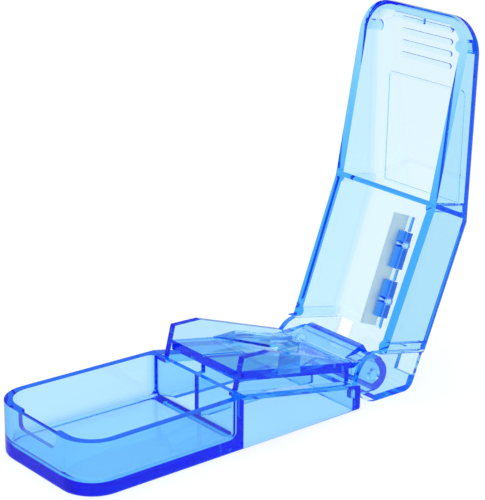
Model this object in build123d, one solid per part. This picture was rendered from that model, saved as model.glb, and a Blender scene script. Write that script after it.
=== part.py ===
from build123d import *
from math import cos, hypot, radians, sin, tan
import os

# Pocket pill splitter, moulded in clear blue plastic. X runs from the tray's front face to the
# hinge, Y across, Z up from the table. Everything is drawn with the lid closed, and the lid with
# its blade is then turned about the hinge to the open position.

# Plan of the closed case
front_half_width = 18.3
side_taper = 0.0185
corner_radius = 8.3
parting_gap = 0.1

# Tray at the front of the base
tray_length = 44.4
rim_height = 12.7
tray_side_wall = 1.9
tray_front_wall = 2.0
divider_wall = 1.3
tray_floor = 2.3
floor_fillet = 2.0
divider_corner_radius = 2.5
foot_round = 1.0

# Catch recess in the tray's front wall
catch_half_width = 7.0
catch_depth = 1.0
catch_drop = 4.2
catch_corner = 1.4

# Skirt and ledge that carry the lid's rim beside the splitting stage
skirt_length = 34.4
skirt_end = tray_length + skirt_length
skirt_wall = 2.3
ledge_angle = 10.5
ledge_thickness = 1.3
end_web = 1.3

# Splitting stage: two fences and the sloping platform between them
stage_half_width = 13.6
fence_wall = 1.8
stage_setback = 0.3
stage_lean = 1.85
fence_height = 20.0
fence_flat_length = 7.4
fence_bend_height = 19.8
fence_foot_height = 11.3
platform_front_height = 16.8
platform_angle = 10.4
platform_thickness = 2.4
platform_setback = 1.2
rib_thickness = 1.5
rib_foot = 2.3
cut_groove_width = 0.7
cut_groove_depth = 0.5

# Soft pill holder let into the platform
holder_mouth = tray_length + 13.0
holder_depth = 9.2
holder_end_gap = 0.35
holder_arm = 4.9
holder_slot = 2.8
holder_web = 1.6
holder_rise = 0.2
holder_gap = 0.15

# Hinge end of the base
hinge_x = skirt_end + 6.8
hinge_z = 6.3
hinge_wall = 1.5
nose_radius = 4.0
shoulder_angle = 45.0
ramp_foot = hinge_x - 5.1
ramp_top = hinge_x - 0.6
ramp_crest = 1.3
ramp_height = 12.3
ramp_half_width = 9.3
stud_radius = 1.5
stud_clearance = 0.05
stud_length = 1.4

# Lid
open_angle = 101.6
lid_front_height = 16.5
plate_bend_x = tray_length + 3.1
plate_bend_height = 25.35
plate_end_x = skirt_end
plate_end_height = 20.1
plate_thickness = 1.2
lid_side_wall = 2.5
lid_front_wall = 2.0
cheek_start = skirt_end + 0.9
cheek_step = 1.5
cheek_wall = 1.6
cheek_gap = 0.3
lobe_radius = 6.2
tail_round = 3.0
edge_round = 1.8
edge_tolerance = 0.6
partition_thickness = 1.2
partition_lean = 2.9
pad_radius = 1.4
pad_inset = 0.5
pad_front = 6.5
notch_start = hinge_x - 6.1
notch_end = hinge_x + 0.4
notch_width = 5.2

# Grip bars and plain border on the outside of the lid
bar_count = 4
bar_first = 3.6
bar_pitch = 2.85
bar_half_length = 8.6
bar_width = 1.3
bar_rise = 0.45
border_start = 16.9
border_end = tray_length - 0.2
border_half_width = 12.5
border_line = 0.6
border_rise = 0.3

# Catch strip and bead inside the lid's front wall
strip_half_length = 10.0
strip_width = 1.3
strip_rise = 0.7
bead_half_width = 1.0
bead_rise = 1.4

# Blade, its seat under the rear plate, and the two clamps
blade_start = tray_length + 6.3
blade_length = 28.0
blade_width = 6.3
blade_thickness = 0.3
blade_bevel = 1.0
blade_side_gap = 0.03
seat_rail_thickness = 1.1
seat_rail_height = 1.6
clamp_setback = 3.8
clamp_spacing = 3.0
clamp_end_gap = 2.7
clamp_thickness = 2.0
clamp_height = 2.6
front_peg_setback = 3.2
rear_peg_setback = 4.3
peg_radius = 0.7
peg_clearance = 0.05
peg_drop = 1.35
peg_head_radius = 1.1
peg_head_height = 0.4

# Reach past every face when one solid is cut by another
wide = 2 * front_half_width
tall = 2 * lid_front_height


def half_width(x):
    return front_half_width - side_taper * x


def cheek_inside():
    """Half the clear width between the lid's cheeks at the hinge."""
    return half_width(hinge_x) - cheek_step - cheek_wall


def ledge_at(x):
    return rim_height - max(0, x - tray_length) * tan(radians(ledge_angle))


def platform_at(x):
    return platform_front_height - (x - tray_length - platform_setback) * tan(radians(platform_angle))


def line_through(a, b):
    slope = (b[1] - a[1]) / (b[0] - a[0])
    return slope, a[1] - slope * a[0]


def inward(line, distance):
    slope, start = line
    return slope, start - distance * hypot(1, slope)


def height_on(line, x):
    return line[0] * x + line[1]


def meet(a, b):
    x = (b[1] - a[1]) / (a[0] - b[0])
    return x, height_on(a, x)


tail_angle = radians(open_angle - 90)


def off_hinge(distance, along=0.0):
    """Point at a distance from the hinge axis square to the lid's end wall, and along that wall."""
    return (
        hinge_x + distance * cos(tail_angle) - along * sin(tail_angle),
        hinge_z + distance * sin(tail_angle) + along * cos(tail_angle),
    )


front_plate = line_through((0, lid_front_height), (plate_bend_x, plate_bend_height))
rear_plate = line_through((plate_bend_x, plate_bend_height), (plate_end_x, plate_end_height))
end_plate = line_through(off_hinge(lobe_radius), off_hinge(lobe_radius, 1))


def side_face(points):
    return make_face(Plane.XZ * Polyline(*points, close=True))


def across(face, low, high):
    """Solid between two Y planes with the given outline in side view."""
    return extrude(Pos(0, high, 0) * face, amount=high - low, dir=(0, -1, 0))


def side_block(points, low, high):
    return across(side_face(points), low, high)


def upright(face, low, high):
    """Solid between two heights with the given plan."""
    return extrude(Pos(0, 0, low) * face, amount=high - low, dir=(0, 0, 1))


def both_sides(solid):
    return solid + mirror(solid, about=Plane.XZ)


def plan(start, end, inset, front_radius=0.0):
    """Plan view between two stations, following the taper, with the front corners rounded."""
    face = make_face(
        Polyline(
            (start, inset - half_width(start)),
            (end, inset - half_width(end)),
            (end, half_width(end) - inset),
            (start, half_width(start) - inset),
            close=True,
        )
    )
    if front_radius > 0:
        face = fillet(face.vertices().sort_by(Axis.X)[:2], front_radius)
    return face


def hinge_cylinder(radius, low, high):
    disc = Pos(hinge_x, 0, hinge_z) * (Plane.XZ * Circle(radius))
    return across(disc, low, high)


def base_envelope():
    outline = [
        (-corner_radius, 0),
        (skirt_end, 0),
        (skirt_end, ledge_at(skirt_end)),
        (tray_length, rim_height),
        (-corner_radius, rim_height),
    ]
    body = upright(plan(0, skirt_end, 0, corner_radius), 0, tall) & side_block(outline, -wide, wide)
    foot = body.edges().group_by(Axis.Z)[0].sort_by(Axis.X)[:-1]
    return fillet(foot, foot_round)


def tray_cavity():
    back = tray_length - divider_wall
    inner = plan(tray_front_wall, back, tray_side_wall, corner_radius - tray_side_wall)
    inner = fillet(inner.vertices().sort_by(Axis.X)[-2:], divider_corner_radius)
    cavity = upright(inner, tray_floor, tall)
    return fillet(cavity.edges().group_by(Axis.Z)[0], floor_fillet)


def catch_recess():
    """Shallow pocket for the lid's catch, open at the rim, with rounded lower corners."""
    mouth = Rectangle(2 * catch_half_width, 2 * catch_drop)
    mouth = fillet(mouth.vertices().sort_by(Axis.Y)[:2], catch_corner)
    pocket = Pos(tray_front_wall - catch_depth, 0, rim_height) * (Plane.YZ * mouth)
    return extrude(pocket, amount=2 * catch_depth, dir=(1, 0, 0))


def skirt_hollow():
    """Space under the stage, open underneath, between the skirt walls and the end web."""
    back = skirt_end - end_web
    under_ledge = [
        (tray_length, -foot_round),
        (back, -foot_round),
        (back, ledge_at(back) - ledge_thickness),
        (tray_length, rim_height - ledge_thickness),
    ]
    room = side_block(under_ledge, -wide, wide)
    room &= upright(plan(tray_length, skirt_end, skirt_wall), -foot_round, tall)
    inside = stage_half_width - fence_wall
    well = [(tray_length, -foot_round), (back, -foot_round), (back, tall), (tray_length, tall)]
    return room + side_block(well, -inside, inside)


def fence():
    """One side wall of the stage, from under the ledge up to the fence's sloping top."""
    foot = tray_length + stage_setback
    outline = [
        (tray_length, rim_height - ledge_thickness),
        (tray_length, rim_height),
        (foot, rim_height),
        (foot + stage_lean, fence_height),
        (foot + stage_lean + fence_flat_length, fence_bend_height),
        (skirt_end, fence_foot_height),
        (skirt_end, ledge_at(skirt_end) - ledge_thickness),
    ]
    return side_block(outline, stage_half_width - fence_wall, stage_half_width)


def platform():
    """Sloping slab between the fences, with the rib that carries it along the middle."""
    front = tray_length + platform_setback
    root = tray_length - divider_wall / 2
    slab = [
        (front, platform_at(front)),
        (skirt_end, platform_at(skirt_end)),
        (skirt_end, platform_at(skirt_end) - platform_thickness),
        (front, platform_at(front) - platform_thickness),
    ]
    rib = [
        (root, rib_foot),
        (skirt_end, rib_foot),
        (skirt_end, platform_at(skirt_end) - platform_thickness / 2),
        (front, platform_at(front) - platform_thickness / 2),
        (front, rim_height),
        (root, rim_height),
    ]
    inside = stage_half_width - fence_wall / 2
    return side_block(slab, -inside, inside) + side_block(rib, -rib_thickness / 2, rib_thickness / 2)


def hinge_outline(start, inset):
    """Side view of the hinge end: platform, ramp, and a nose that turns inside the end wall."""
    nose = nose_radius - inset
    drop = inset / cos(radians(platform_angle))
    turn = radians(shoulder_angle)
    shoulder = (hinge_x + nose * cos(turn), hinge_z + nose * sin(turn))
    under = (hinge_x, hinge_z - nose)
    edge = Polyline(
        under,
        (start, hinge_z - nose),
        (start, platform_at(start) - drop),
        (ramp_foot, platform_at(ramp_foot) - drop),
        (ramp_top, ramp_height - inset),
        (ramp_top + ramp_crest - inset / 2, ramp_height - inset),
        shoulder,
    )
    return make_face(Plane.XZ * (edge + ThreePointArc(shoulder, (hinge_x + nose, hinge_z), under)))


def hinge_end():
    """Hollow block that the lid's cheeks straddle, with a bore for each stud."""
    outside = cheek_inside() - cheek_gap
    inside = outside - hinge_wall
    block = across(hinge_outline(skirt_end - end_web, 0), -outside, outside)
    room = across(hinge_outline(skirt_end, hinge_wall), -inside, inside)
    mouth = [(skirt_end, 0), (hinge_x, 0), (hinge_x, hinge_z), (skirt_end, hinge_z)]
    room += side_block(mouth, -inside, inside)
    room += hinge_cylinder(stud_radius + stud_clearance, -wide, wide)
    shelf_level = platform_at(ramp_foot)
    for side in (-1, 1):
        low, high = sorted((side * ramp_half_width, side * wide))
        above = [(ramp_foot, shelf_level), (wide * 3, shelf_level), (wide * 3, tall), (ramp_foot, tall)]
        room += side_block(above, low, high)
    return block - room


def holder_plan(clearance):
    """Plan of the holder's web: a truncated V whose wide end faces the tray."""
    half = stage_half_width - fence_wall - holder_end_gap + clearance
    tip = holder_slot / 2 + holder_arm + clearance
    front = holder_mouth - clearance
    back = holder_mouth + holder_depth + holder_arm_run() + clearance
    points = [(front, -half), (front + holder_arm_run(), -half), (back, -tip), (back, tip)]
    points += [(front + holder_arm_run(), half), (front, half)]
    return make_face(Polyline(*points, close=True))


def holder_arm_run():
    """Width of an arm measured along X."""
    reach = stage_half_width - fence_wall - holder_end_gap - holder_slot / 2
    return holder_arm * hypot(reach, holder_depth) / reach


def platform_layer(start, end, low, high):
    """Layer parallel to the platform, between two distances above it."""
    points = [
        (start, platform_at(start) + low),
        (end, platform_at(end) + low),
        (end, platform_at(end) + high),
        (start, platform_at(start) + high),
    ]
    return side_block(points, -wide, wide)


def holder_pocket():
    layer = platform_layer(tray_length, skirt_end, -holder_web, platform_thickness)
    return upright(holder_plan(holder_gap), 0, tall) & layer


def cut_groove():
    end = holder_mouth - holder_gap
    layer = platform_layer(tray_length, end, -cut_groove_depth, platform_thickness)
    strip = Pos((tray_length + end) / 2, 0) * Rectangle(end - tray_length, cut_groove_width)
    return upright(strip, 0, tall) & layer


def make_base():
    body = base_envelope() - tray_cavity() - catch_recess() - skirt_hollow()
    body += both_sides(fence())
    body += platform() + hinge_end()
    return body - holder_pocket() - cut_groove()


def make_pill_holder():
    """Soft V that centres the pill: two level-topped arms on a web, with a slot for the blade."""
    run = holder_arm_run()
    half = stage_half_width - fence_wall - holder_end_gap
    tip_x = holder_mouth + holder_depth
    arm = make_face(
        Polyline(
            (holder_mouth, half),
            (tip_x, holder_slot / 2),
            (tip_x + run, holder_slot / 2),
            (holder_mouth + run, half),
            close=True,
        )
    )
    level = platform_at(holder_mouth) + holder_rise
    top = [
        (holder_mouth, platform_at(holder_mouth) - holder_web / 2),
        (tip_x + run, platform_at(tip_x + run) - holder_web / 2),
        (tip_x + run, level),
        (holder_mouth, level),
    ]
    arms = both_sides(upright(arm, 0, tall) & side_block(top, 0, wide))
    web = upright(holder_plan(0), 0, tall) & platform_layer(tray_length, skirt_end, -holder_web, 0)
    return arms + web


def lid_outline():
    """Side view of the closed lid without its lobes."""
    corner = meet(rear_plate, end_plate)
    face = side_face(
        [
            (-corner_radius, rim_height + parting_gap),
            (tray_length, rim_height + parting_gap),
            (cheek_start, ledge_at(cheek_start) + parting_gap),
            (hinge_x, hinge_z),
            off_hinge(lobe_radius),
            corner,
            (plate_bend_x, plate_bend_height),
            (-corner_radius, height_on(front_plate, -corner_radius)),
        ]
    )
    nearest = face.vertices().sort_by_distance((corner[0], 0, corner[1]))[:1]
    return fillet(nearest, tail_round)


def lid_envelope():
    """Outside of the lid: wide over the tray and stage, stepped in where it becomes cheeks."""
    side = across(lid_outline(), -wide, wide) + hinge_cylinder(lobe_radius, -wide, wide)
    case = side & upright(plan(0, cheek_start, 0, corner_radius), 0, tall)
    shell = case.edges().filter_by(lambda e: on_plate(e) and e.center().X < cheek_start - cheek_step)
    tail = side & upright(plan(cheek_start - cheek_step, 2 * cheek_start, cheek_step), 0, tall)
    return fillet(shell, edge_round) + tail


def on_plate(edge):
    """True for the edges where the lid's plate meets its front and side walls."""
    middle = edge.center()
    beside = abs(abs(middle.Y) - half_width(middle.X)) < edge_tolerance
    return middle.Z > lid_front_height - edge_tolerance and (beside or middle.X < corner_radius)


def lid_cavity():
    """Inside of the lid, open below, with the end wall left standing behind the hinge."""
    front = inward(front_plate, plate_thickness)
    rear = inward(rear_plate, plate_thickness)
    back = inward(end_plate, plate_thickness)
    outline = [
        (lid_front_wall, -tall),
        (lid_front_wall, height_on(front, lid_front_wall)),
        meet(front, rear),
        meet(rear, back),
        off_hinge(lobe_radius - plate_thickness),
        off_hinge(2 * lobe_radius),
        (off_hinge(2 * lobe_radius)[0], -tall),
    ]
    room = plan(lid_front_wall, cheek_start, lid_side_wall, corner_radius - lid_front_wall)
    room += plan(cheek_start - cheek_step, 2 * cheek_start, cheek_step + cheek_wall)
    return side_block(outline, -wide, wide) & upright(room, 0, tall)


def partition():
    """Wall across the lid that lands on the tray's divider, leaning back to the plate."""
    foot = rim_height + parting_gap
    back = tray_length - parting_gap
    rise = plate_bend_height - foot
    outline = [
        (back - partition_thickness, foot),
        (back, foot),
        (back + partition_lean, foot + rise),
        (back + partition_lean - partition_thickness, foot + rise),
    ]
    return side_block(outline, -wide, wide)


def rim_pads():
    """Round pads where the moulding is pushed off its core, standing in both side walls."""
    pads = Part()
    for x in (pad_front, tray_length, cheek_start - pad_radius):
        y = half_width(x) - lid_side_wall / 2 - pad_inset
        if x < corner_radius:
            y -= corner_radius / 8
        pads += both_sides(Pos(x, y, 0) * extrude(Circle(pad_radius), tall))
    return pads


def plate_plane(line, x, depth=0.0):
    """Plane on the lid's outer face at a station: local X runs to the hinge, Z out of the plate."""
    slope = line[0]
    scale = hypot(1, slope)
    origin = (x + depth * slope / scale, 0, height_on(line, x) - depth / scale)
    return Plane(origin=origin, x_dir=(1 / scale, 0, slope / scale), z_dir=(-slope / scale, 0, 1 / scale))


def grip_bars():
    bars = Part()
    for i in range(bar_count):
        face = plate_plane(front_plate, bar_first + i * bar_pitch)
        bar = Rot(0, 0, 90) * SlotOverall(2 * bar_half_length, bar_width)
        bars += extrude(face * bar, amount=bar_rise, both=True)
    return bars


def border():
    """Plain raised border on the lid's front plate."""
    middle = (border_start + border_end) / 2
    length = (border_end - border_start) * hypot(1, front_plate[0])
    frame = RectangleRounded(length, 2 * border_half_width, 2 * border_line)
    frame -= Rectangle(length - 2 * border_line, 2 * (border_half_width - border_line))
    return extrude(plate_plane(front_plate, middle) * frame, amount=border_rise, both=True)


def catch_strip():
    """Low strip inside the lid behind the front wall, with the small bead of the catch."""
    middle = lid_front_wall + strip_width / 2
    face = plate_plane(front_plate, middle, plate_thickness)
    strip = extrude(face * Rectangle(strip_width, 2 * strip_half_length), amount=-strip_rise)
    bead = extrude(face * Rectangle(strip_width, 2 * bead_half_width), amount=-bead_rise)
    return strip + bead + extrude(face * Rectangle(strip_width, 2 * strip_half_length), amount=strip_rise)


def seat_plane(x):
    """Plane on the inner face of the rear plate, looking down into the lid."""
    outer = plate_plane(rear_plate, x, plate_thickness)
    return Plane(origin=outer.origin, x_dir=outer.x_dir, z_dir=-outer.z_dir)


def seat_block(start, length, low_y, high_y, depth):
    """Block standing on the inner face of the rear plate; Y is measured on the near side as minus."""
    plane = seat_plane(start)
    middle = -(low_y + high_y) / 2
    block = Box(length, high_y - low_y, depth, align=(Align.MIN, Align.CENTER, Align.MIN))
    return plane * Pos(0, middle, 0) * block


def blade_seat():
    """Rail behind the blade, short rails beside the clamps, and two pegs through the blade."""
    face = blade_thickness / 2 + blade_side_gap
    depth = seat_rail_height + plate_thickness / 2
    seat = seat_block(blade_start, blade_length, face, face + seat_rail_thickness, depth)
    start = blade_start
    for clamp_start, length, peg_x in clamps():
        seat += short_rail(start, clamp_start - blade_side_gap)
        start = clamp_start + length + blade_side_gap
    seat += short_rail(start, blade_start + blade_length)
    for _, _, x in clamps():
        seat += peg(x, peg_radius, clamp_thickness + seat_rail_thickness / 2 + face)
        seat += peg(x, peg_head_radius, peg_head_height, clamp_thickness + face + blade_side_gap)
    return seat


def short_rail(start, end):
    """Low rail on the clamps' side of the blade."""
    face = blade_thickness / 2 + blade_side_gap
    return seat_block(start, end - start, -face - seat_rail_thickness, -face, seat_rail_height * 2 / 3)


def clamps():
    """Start, length and peg station of the front and rear clamp."""
    length = (blade_length - clamp_setback - clamp_spacing - clamp_end_gap) / 2
    front = blade_start + clamp_setback
    rear = front + length + clamp_spacing
    return (front, length, front + front_peg_setback), (rear, length, rear + length - rear_peg_setback)


def peg(x, radius, length, start=None):
    """Round peg across the blade's seat, running to the near side from its start."""
    begin = -seat_rail_thickness / 2 - blade_thickness / 2 if start is None else start
    reach = length - begin if start is None else length
    rod = Rot(-90, 0, 0) * Cylinder(radius, reach, align=(Align.CENTER, Align.CENTER, Align.MIN))
    return seat_plane(x) * Pos(0, begin, peg_drop) * rod


def make_lid():
    body = lid_envelope() - lid_cavity()
    body += (partition() + rim_pads()) & lid_envelope()
    inside = cheek_inside()
    body += both_sides(hinge_cylinder(stud_radius, inside - stud_length, inside + cheek_wall / 2))
    low = height_on(rear_plate, notch_end) - 2 * plate_thickness
    notch = Box(notch_end - notch_start, notch_width, tall)
    for side in (-1, 1):
        y = side * (inside - notch_width / 2)
        body -= Pos((notch_start + notch_end) / 2, y, low + tall / 2) * notch
    return body + grip_bars() + border() + catch_strip() + blade_seat()


def make_blade():
    """Steel strip on edge, ground on both faces, with a hole for each peg."""
    half = blade_thickness / 2
    shoulder = blade_width - blade_bevel
    outline = [(-half, 0), (half, 0), (half, shoulder), (0, blade_width), (-half, shoulder)]
    section = Polyline(*outline, close=True)
    strip = extrude(make_face(Plane.YZ * section), amount=blade_length, dir=(1, 0, 0))
    steel = seat_plane(blade_start) * Pos(0, 0, blade_side_gap) * strip
    for _, _, x in clamps():
        steel -= peg(x, peg_radius + peg_clearance, clamp_thickness)
    return steel


def make_clamp(start, length, peg_x):
    """Quarter-round clamp that holds the blade against its rail, bored for the peg."""
    face = blade_thickness / 2 + blade_side_gap
    round_part = Polyline((face, 0), (face + clamp_thickness, 0), (face + clamp_thickness, clamp_height / 3))
    bulge = ThreePointArc(
        (face + clamp_thickness, clamp_height / 3),
        (face + clamp_thickness * 0.7, clamp_height * 0.82),
        (face, clamp_height),
    )
    section = make_face(Plane.YZ * (round_part + bulge + Line((face, clamp_height), (face, 0))))
    body = extrude(section, amount=length, dir=(1, 0, 0))
    clamp = seat_plane(start) * Pos(0, 0, blade_side_gap) * body
    clamp -= peg(peg_x, peg_radius + peg_clearance, clamp_thickness * 2)
    return clamp - peg(peg_x, peg_head_radius + peg_clearance, clamp_thickness, face + clamp_thickness)


def opened(shape):
    hinge = Axis((hinge_x, 0, hinge_z), (0, 1, 0))
    return shape.rotate(hinge, open_angle)


def make_parts():
    """Every piece by name, lid open, with the origin under the middle of the tray."""
    pieces = {
        "base": make_base(),
        "pill_holder": make_pill_holder(),
        "lid": opened(make_lid()),
        "blade": opened(make_blade()),
    }
    for name, place in zip(("blade_clamp_front", "blade_clamp_rear"), clamps()):
        pieces[name] = opened(make_clamp(*place))
    return {name: Pos(-tray_length / 2, 0, 0) * piece for name, piece in pieces.items()}


os.makedirs("parts", exist_ok=True)
for name, piece in make_parts().items():
    export_step(piece, f"parts/{name}.step")
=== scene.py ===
"""A pocket pill splitter in clear blue plastic, standing open on a white table."""

import logging
import math
from dataclasses import dataclass, field
from enum import Enum

import bpy
from mathutils import Matrix, Vector

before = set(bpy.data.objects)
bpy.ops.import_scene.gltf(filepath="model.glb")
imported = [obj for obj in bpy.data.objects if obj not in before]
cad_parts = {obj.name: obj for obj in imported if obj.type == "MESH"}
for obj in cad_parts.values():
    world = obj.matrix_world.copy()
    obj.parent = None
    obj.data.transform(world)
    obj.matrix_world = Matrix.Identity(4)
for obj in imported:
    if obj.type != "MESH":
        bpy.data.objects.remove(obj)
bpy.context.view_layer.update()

MM = 0.001
PHOTO_WIDTH_PX = 485
SENSOR_WIDTH = 36.0

log = logging.getLogger("pill_splitter")

Colour = tuple[float, float, float, float]


class Ray(Enum):
    """Kinds of ray that a surface can tell apart."""

    CAMERA = "Is Camera Ray"
    SHADOW = "Is Shadow Ray"
    GLOSSY = "Is Glossy Ray"
    TRANSMISSION = "Is Transmission Ray"
    REFLECTION = "Is Reflection Ray"


class Material:
    """A node material with short helpers to add and link nodes."""

    def __init__(self, name: str) -> None:
        """Make an empty material.

        Args:
            name: the material's name.
        """
        self.material = bpy.data.materials.new(name)
        self.material.use_nodes = True
        self.tree = self.material.node_tree
        self.tree.nodes.clear()
        self.output = self.add("ShaderNodeOutputMaterial")

    def add(self, kind: str, **values: object) -> bpy.types.Node:
        """Add a node and set its plain inputs.

        Args:
            kind: the node's type name.
            values: socket names, with underscores for spaces, and their values.

        Returns:
            The new node.
        """
        node = self.tree.nodes.new(kind)
        for key, value in values.items():
            name = key.replace("_", " ")
            if name in node.inputs:
                node.inputs[name].default_value = value
            else:
                setattr(node, key, value)
        return node

    def link(self, source: bpy.types.NodeSocket, target: bpy.types.NodeSocket) -> None:
        """Join two sockets."""
        self.tree.links.new(source, target)

    def rays(self, *kinds: Ray) -> bpy.types.NodeSocket:
        """A factor that is 1 for any of the given kinds of ray.

        Args:
            kinds: the kinds of ray.

        Returns:
            The factor's socket.
        """
        path = self.add("ShaderNodeLightPath")
        factor = path.outputs[kinds[0].value]
        for kind in kinds[1:]:
            more = self.add("ShaderNodeMath", operation="MAXIMUM")
            self.link(factor, more.inputs[0])
            self.link(path.outputs[kind.value], more.inputs[1])
            factor = more.outputs[0]
        return factor

    def mix(
        self, factor: bpy.types.NodeSocket, base: bpy.types.NodeSocket, other: bpy.types.NodeSocket
    ) -> bpy.types.NodeSocket:
        """Mix two shaders by a factor.

        Args:
            factor: 0 shows base, 1 shows other.
            base: the first shader.
            other: the second shader.

        Returns:
            The mixed shader's socket.
        """
        node = self.add("ShaderNodeMixShader")
        self.link(factor, node.inputs[0])
        self.link(base, node.inputs[1])
        self.link(other, node.inputs[2])
        return node.outputs[0]


@dataclass(frozen=True)
class ClearPlastic:
    """Polished clear moulding: colour comes from the depth of plastic that light crosses."""

    name: str
    tint: Colour
    density: float
    shadow: Colour
    roughness: float = 0.02
    ior: float = 1.46
    ripple: float = 0.02
    ripple_scale: float = 90.0

    def build(self) -> bpy.types.Material:
        """Make the material.

        Returns:
            The finished material.
        """
        made = Material(self.name)
        glass = made.add(
            "ShaderNodeBsdfPrincipled",
            Base_Color=(1.0, 1.0, 1.0, 1.0),
            Roughness=self.roughness,
            IOR=self.ior,
            Transmission_Weight=1.0,
        )
        place = made.add("ShaderNodeTexCoord")
        flow = made.add("ShaderNodeTexNoise", Scale=self.ripple_scale, Detail=2.0)
        bump = made.add("ShaderNodeBump", Strength=self.ripple, Distance=MM)
        made.link(place.outputs["Object"], flow.inputs["Vector"])
        made.link(flow.outputs[0], bump.inputs["Height"])
        made.link(bump.outputs[0], glass.inputs["Normal"])
        pass_light = made.add("ShaderNodeBsdfTransparent", Color=self.shadow)
        surface = made.mix(made.rays(Ray.SHADOW), glass.outputs[0], pass_light.outputs[0])
        made.link(surface, made.output.inputs["Surface"])
        depth = made.add("ShaderNodeVolumeAbsorption", Color=self.tint, Density=self.density)
        made.link(depth.outputs[0], made.output.inputs["Volume"])
        return made.material


@dataclass(frozen=True)
class GroundSteel:
    """Blade steel with fine grinding lines along its length."""

    name: str
    colour: Colour = (0.66, 0.74, 0.80, 1.0)
    roughness: float = 0.35
    lines: float = 900.0

    def build(self) -> bpy.types.Material:
        """Make the material.

        Returns:
            The finished material.
        """
        made = Material(self.name)
        steel = made.add("ShaderNodeBsdfPrincipled", Base_Color=self.colour, Metallic=0.85)
        place = made.add("ShaderNodeTexCoord")
        along = made.add("ShaderNodeMapping")
        along.inputs["Scale"].default_value = (1.0, 1.0, 0.05)
        grain = made.add("ShaderNodeTexNoise", Scale=self.lines, Detail=3.0)
        spread = made.add("ShaderNodeMapRange", To_Min=self.roughness * 0.8, To_Max=self.roughness * 1.3)
        made.link(place.outputs["Object"], along.inputs["Vector"])
        made.link(along.outputs[0], grain.inputs["Vector"])
        made.link(grain.outputs[0], spread.inputs["Value"])
        made.link(spread.outputs[0], steel.inputs["Roughness"])
        made.link(steel.outputs[0], made.output.inputs["Surface"])
        return made.material


@dataclass(frozen=True)
class WhiteTable:
    """Plain white table: seen as white, lit as a diffuse surface."""

    name: str
    colour: Colour = (0.9, 0.9, 0.9, 1.0)
    shade_share: float = 0.25
    mirrored: float = 0.3

    def build(self) -> bpy.types.Material:
        """Make the material.

        Returns:
            The finished material.
        """
        made = Material(self.name)
        plain = made.add("ShaderNodeBsdfDiffuse", Color=self.colour)
        white = made.add("ShaderNodeEmission", Color=(1.0, 1.0, 1.0, 1.0), Strength=1.0)
        dim = made.add("ShaderNodeEmission", Color=(1.0, 1.0, 1.0, 1.0), Strength=self.mirrored)
        shown = made.mix(made.rays(Ray.REFLECTION), white.outputs[0], dim.outputs[0])
        seen = made.rays(Ray.CAMERA, Ray.GLOSSY, Ray.TRANSMISSION)
        share = made.add("ShaderNodeMath", operation="MULTIPLY")
        made.link(seen, share.inputs[0])
        share.inputs[1].default_value = 1.0 - self.shade_share
        made.link(made.mix(share.outputs[0], plain.outputs[0], shown), made.output.inputs["Surface"])
        return made.material


@dataclass
class Case:
    """The moulded base and lid, with the soft holder."""

    base_finish: ClearPlastic = ClearPlastic(
        "case_blue", (0.03, 0.69, 0.988, 1.0), 345.0, (0.72, 0.92, 1.0, 1.0)
    )
    lid_finish: ClearPlastic = ClearPlastic(
        "lid_blue", (0.04, 0.72, 0.99, 1.0), 200.0, (0.86, 0.97, 1.0, 1.0)
    )
    holder_finish: ClearPlastic = ClearPlastic(
        "holder_soft", (0.05, 0.75, 0.99, 1.0), 110.0, (0.9, 0.97, 1.0, 1.0), roughness=0.05, ripple=0.12
    )

    def dress(self) -> None:
        """Give each moulded node its finish."""
        dress_node("base", self.base_finish.build())
        dress_node("lid", self.lid_finish.build())
        dress_node("pill_holder", self.holder_finish.build())


@dataclass
class Cutter:
    """The steel blade and the two deep blue clamps that hold it."""

    blade_finish: GroundSteel = GroundSteel("blade_steel")
    clamp_finish: ClearPlastic = ClearPlastic(
        "clamp_blue", (0.02, 0.6, 0.98, 1.0), 900.0, (0.2, 0.5, 0.95, 1.0)
    )

    def dress(self) -> None:
        """Give the blade and clamps their finishes."""
        dress_node("blade", self.blade_finish.build())
        clamp = self.clamp_finish.build()
        for name in ("blade_clamp_front", "blade_clamp_rear"):
            dress_node(name, clamp)


def dress_node(name: str, material: bpy.types.Material) -> None:
    """Put one material on a node of the frame.

    Args:
        name: the node's name.
        material: its new material.
    """
    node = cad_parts[name]
    for slot in node.material_slots:
        slot.material = material
    log.info("%s wears %s", name, material.name)


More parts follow.
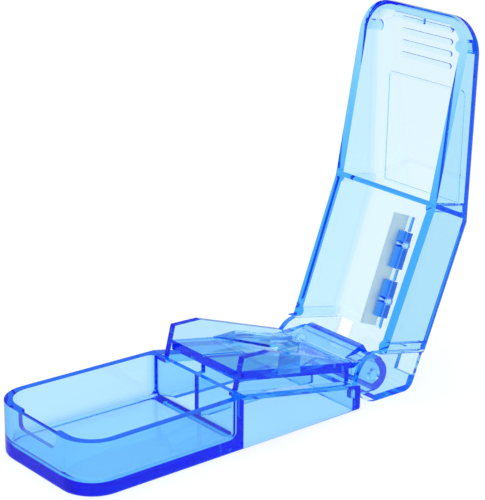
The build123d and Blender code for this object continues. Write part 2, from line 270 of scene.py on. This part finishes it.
@dataclass
class Studio:
    """Camera at the photograph's viewing angle, white table and soft plain light."""

    azimuth: float = -39.0
    elevation: float = 18.94
    roll: float = 0.48
    focal_px: float = 1937.7
    eye_mm: tuple[float, float, float] = (-226.75, -322.74, 182.12)
    table_size: float = 4.0
    table_gap: float = 0.05 * MM
    light_depth: int = 96
    world_light: float = 0.9
    room_dim: float = 0.25
    room_bright: float = 1.0
    room_dim_below: float = 0.4
    room_bright_above: float = 0.8
    lamps: list[tuple[str, tuple[float, float, float], float, float]] = field(
        default_factory=lambda: [
            ("key_lamp", (-0.5, -0.6, 1.0), 0.8, 7.0),
            ("top_lamp", (0.1, 0.3, 1.3), 0.8, 5.0),
        ]
    )

    def trace_deep(self) -> None:
        """Let light bounce often enough to leave the clear walls again."""
        cycles = bpy.context.scene.cycles
        cycles.max_bounces = self.light_depth
        cycles.transmission_bounces = self.light_depth
        cycles.glossy_bounces = self.light_depth
        cycles.transparent_max_bounces = self.light_depth

    def place_camera(self) -> None:
        """Stand the camera where the photograph was taken from."""
        a, e, r = (math.radians(v) for v in (self.azimuth, self.elevation, self.roll))
        back = Vector((math.sin(a) * math.cos(e), -math.cos(a) * math.cos(e), math.sin(e)))
        level = Vector((0, 0, 1)).cross(back).normalized()
        up = back.cross(level)
        right = level * math.cos(r) + up * math.sin(r)
        top = up * math.cos(r) - level * math.sin(r)
        camera = bpy.data.objects.new("camera", bpy.data.cameras.new("camera"))
        bpy.context.scene.collection.objects.link(camera)
        axes = Matrix((right, top, back)).transposed().to_4x4()
        camera.matrix_world = Matrix.Translation(Vector(self.eye_mm) * MM) @ axes
        camera.data.sensor_fit = "HORIZONTAL"
        camera.data.sensor_width = SENSOR_WIDTH
        camera.data.lens = self.focal_px * SENSOR_WIDTH / PHOTO_WIDTH_PX
        bpy.context.scene.camera = camera

    def lay_table(self) -> None:
        """Lay the white table under the splitter."""
        half = self.table_size / 2
        mesh = bpy.data.meshes.new("table")
        drop = -self.table_gap
        corners = [(-half, -half, drop), (half, -half, drop), (half, half, drop), (-half, half, drop)]
        mesh.from_pydata(corners, [], [(0, 1, 2, 3)])
        table = bpy.data.objects.new("table", mesh)
        bpy.context.scene.collection.objects.link(table)
        mesh.materials.append(WhiteTable("white_table").build())

    def light(self) -> None:
        """Light the splitter softly from all round, with two large lamps."""
        world = bpy.data.worlds.new("studio")
        bpy.context.scene.world = world
        world.use_nodes = True
        tree = world.node_tree
        tree.nodes.clear()
        path = tree.nodes.new("ShaderNodeLightPath")
        seen = path.outputs[Ray.CAMERA.value]
        for kind in (Ray.GLOSSY, Ray.TRANSMISSION):
            more = tree.nodes.new("ShaderNodeMath")
            more.operation = "MAXIMUM"
            tree.links.new(seen, more.inputs[0])
            tree.links.new(path.outputs[kind.value], more.inputs[1])
            seen = more.outputs[0]
        soft, white, room = (self.backdrop(tree, power) for power in (self.world_light, 1.0, self.room_bright))
        tree.links.new(self.room_rise(tree), room.inputs["Strength"])
        shown = self.blend(tree, seen, soft.outputs[0], white.outputs[0])
        shown = self.blend(tree, path.outputs[Ray.REFLECTION.value], shown, room.outputs[0])
        tree.links.new(shown, tree.nodes.new("ShaderNodeOutputWorld").inputs["Surface"])
        for name, place, size, power in self.lamps:
            self.hang_lamp(name, place, size, power)

    def backdrop(self, tree: bpy.types.NodeTree, power: float) -> bpy.types.Node:
        """Add a plain white backdrop.

        Args:
            tree: the world's nodes.
            power: its strength.

        Returns:
            The background node.
        """
        node = tree.nodes.new("ShaderNodeBackground")
        node.inputs["Color"].default_value = (1.0, 1.0, 1.0, 1.0)
        node.inputs["Strength"].default_value = power
        return node

    def blend(
        self,
        tree: bpy.types.NodeTree,
        factor: bpy.types.NodeSocket,
        base: bpy.types.NodeSocket,
        other: bpy.types.NodeSocket,
    ) -> bpy.types.NodeSocket:
        """Mix two backdrops.

        Args:
            tree: the world's nodes.
            factor: 0 shows base, 1 shows other.
            base: the first backdrop.
            other: the second backdrop.

        Returns:
            The mixed backdrop's socket.
        """
        mix = tree.nodes.new("ShaderNodeMixShader")
        for source, target in zip((factor, base, other), mix.inputs):
            tree.links.new(source, target)
        return mix.outputs[0]

    def room_rise(self, tree: bpy.types.NodeTree) -> bpy.types.NodeSocket:
        """Strength of the mirrored room: dim near the horizon, bright overhead.

        Args:
            tree: the world's nodes.

        Returns:
            The strength's socket.
        """
        place = tree.nodes.new("ShaderNodeTexCoord")
        split = tree.nodes.new("ShaderNodeSeparateXYZ")
        rise = tree.nodes.new("ShaderNodeMapRange")
        rise.inputs["From Min"].default_value = self.room_dim_below
        rise.inputs["From Max"].default_value = self.room_bright_above
        rise.inputs["To Min"].default_value = self.room_dim
        rise.inputs["To Max"].default_value = self.room_bright
        tree.links.new(place.outputs["Generated"], split.inputs[0])
        tree.links.new(split.outputs["Z"], rise.inputs["Value"])
        return rise.outputs[0]

    def hang_lamp(self, name: str, place: tuple[float, float, float], size: float, power: float) -> None:
        """Hang one soft lamp that faces the splitter.

        Args:
            name: the lamp's name.
            place: where it hangs, in metres.
            size: the side of its square face, in metres.
            power: its power in watts.
        """
        lamp = bpy.data.lights.new(name, "AREA")
        lamp.size = size
        lamp.energy = power
        body = bpy.data.objects.new(name, lamp)
        body.location = place
        body.rotation_euler = Vector(place).to_track_quat("Z", "Y").to_euler()
        bpy.context.scene.collection.objects.link(body)


def main() -> None:
    """Build the scene around the frame."""
    logging.basicConfig(level=logging.INFO, format="%(message)s")
    bpy.context.scene.view_settings.view_transform = "Standard"
    studio = Studio()
    studio.trace_deep()
    studio.place_camera()
    studio.lay_table()
    studio.light()
    Case().dress()
    Cutter().dress()


if __name__ == "__main__":
    main()
